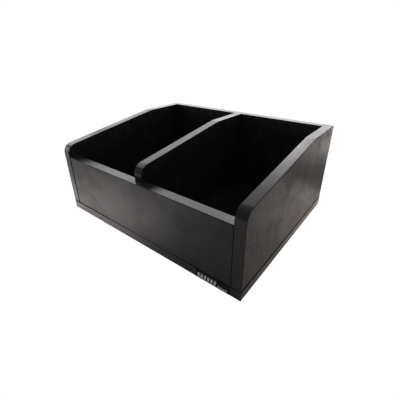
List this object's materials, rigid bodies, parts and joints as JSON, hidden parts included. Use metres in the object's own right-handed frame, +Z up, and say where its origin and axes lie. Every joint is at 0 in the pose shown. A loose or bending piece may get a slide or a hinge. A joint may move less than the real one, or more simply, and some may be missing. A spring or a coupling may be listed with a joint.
{
  "type": "two-bay napkin dispenser box",
  "caption": "Low open counter box with two bays for stacked napkins, sloping round-nosed sides and divider, a low front board, and black laminated boards with banded edges.",
  "frame": {"origin": "on the counter, in the middle of the box's footprint", "axes": "+X across the box to its right as seen from the front, +Y towards its back, +Z up; the low front is at -Y"},
  "size_m": [0.44, 0.3554, 0.189],
  "materials": {
    "laminate": "black melamine-faced particle board with a faint wood grain, satin",
    "edge_band": "black plastic edge band, smooth, semi-gloss",
    "dowel": "fluted beech, raw",
    "screw": "zinc-plated steel",
    "foot": "black moulded rubber, matte",
    "name_plate": "black plastic film, matte, with a plain pale pattern"
  },
  "bodies": {
    "root": {"base_board": "laminate", "left_side_panel": "laminate", "right_side_panel": "laminate", "centre_divider": "laminate", "front_board": "laminate", "back_board": "laminate", "base_front_band": "edge_band", "base_rear_band": "edge_band", "base_left_band": "edge_band", "base_right_band": "edge_band", "left_side_top_band": "edge_band", "left_side_rear_band": "edge_band", "right_side_top_band": "edge_band", "right_side_rear_band": "edge_band", "divider_top_band": "edge_band", "front_board_top_band": "edge_band", "back_board_top_band": "edge_band", "front_left_dowels": "dowel", "front_right_dowels": "dowel", "back_left_dowels": "dowel", "back_right_dowels": "dowel", "left_side_screws": "screw", "right_side_screws": "screw", "divider_screws": "screw", "front_board_screws": "screw", "back_board_screws": "screw", "foot_front_left": "foot", "foot_front_right": "foot", "foot_back_left": "foot", "foot_back_right": "foot", "name_plate": "name_plate"}
  },
  "joints": []
}
